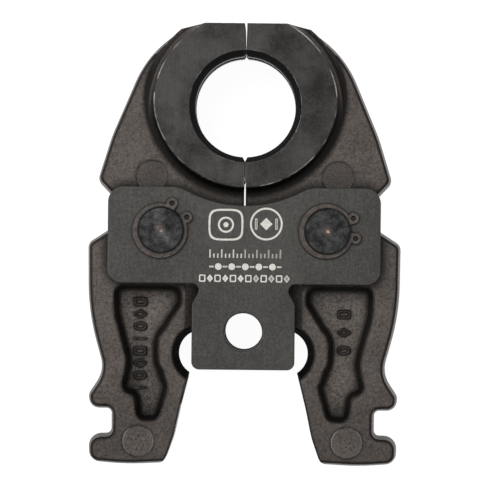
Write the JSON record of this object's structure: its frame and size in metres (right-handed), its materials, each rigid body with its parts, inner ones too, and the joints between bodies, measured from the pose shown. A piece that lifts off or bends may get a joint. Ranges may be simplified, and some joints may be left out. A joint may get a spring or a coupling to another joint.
{
  "type": "press fitting tool jaw",
  "caption": "Press jaw for pipe fittings: forged levers on pins between T-shaped side plates, round press contour at the head, roller ramps below.",
  "frame": {"origin": "axis of the drive bore in the tongue, half-way between the side plates", "axes": "+Z along the bores and pins towards the front plate, +Y from the drive bore to the press contour, +X to the right lever"},
  "size_m": [0.1214, 0.1705, 0.0388],
  "materials": {
    "forged_lever": "phosphated forging, fine grain, satin machined faces",
    "blackened_plate": "smooth blackened steel",
    "turned_pin": "oiled, turned end face",
    "ring_steel": "phosphated spring steel",
    "spring_wire": "drawn spring wire"
  },
  "bodies": {
    "frame": {"front_side_plate": "blackened_plate", "rear_side_plate": "blackened_plate", "left_pivot_pin": "turned_pin", "right_pivot_pin": "turned_pin", "left_front_retaining_ring": "ring_steel", "left_rear_retaining_ring": "ring_steel", "right_front_retaining_ring": "ring_steel", "right_rear_retaining_ring": "ring_steel", "closing_spring": "spring_wire"},
    "left_lever": {"left_jaw_lever": "forged_lever"},
    "right_lever": {"right_jaw_lever": "forged_lever"}
  },
  "joints": [
    {"name": "left_lever_hinge", "type": "hinge", "parent": "frame", "child": "left_lever", "pos_m": [-0.032, 0.039, 0], "axis": [0, 0, 1], "range_deg": [0, 19], "stiffness_Nm_per_rad": 1.5, "springref_deg": -5.73, "deforming": ["closing_spring"]},
    {"name": "right_lever_hinge", "type": "hinge", "parent": "frame", "child": "right_lever", "pos_m": [0.032, 0.039, 0], "axis": [0, 0, -1], "range_deg": [0, 19], "stiffness_Nm_per_rad": 1.5, "springref_deg": -5.73, "deforming": ["closing_spring"]}
  ]
}
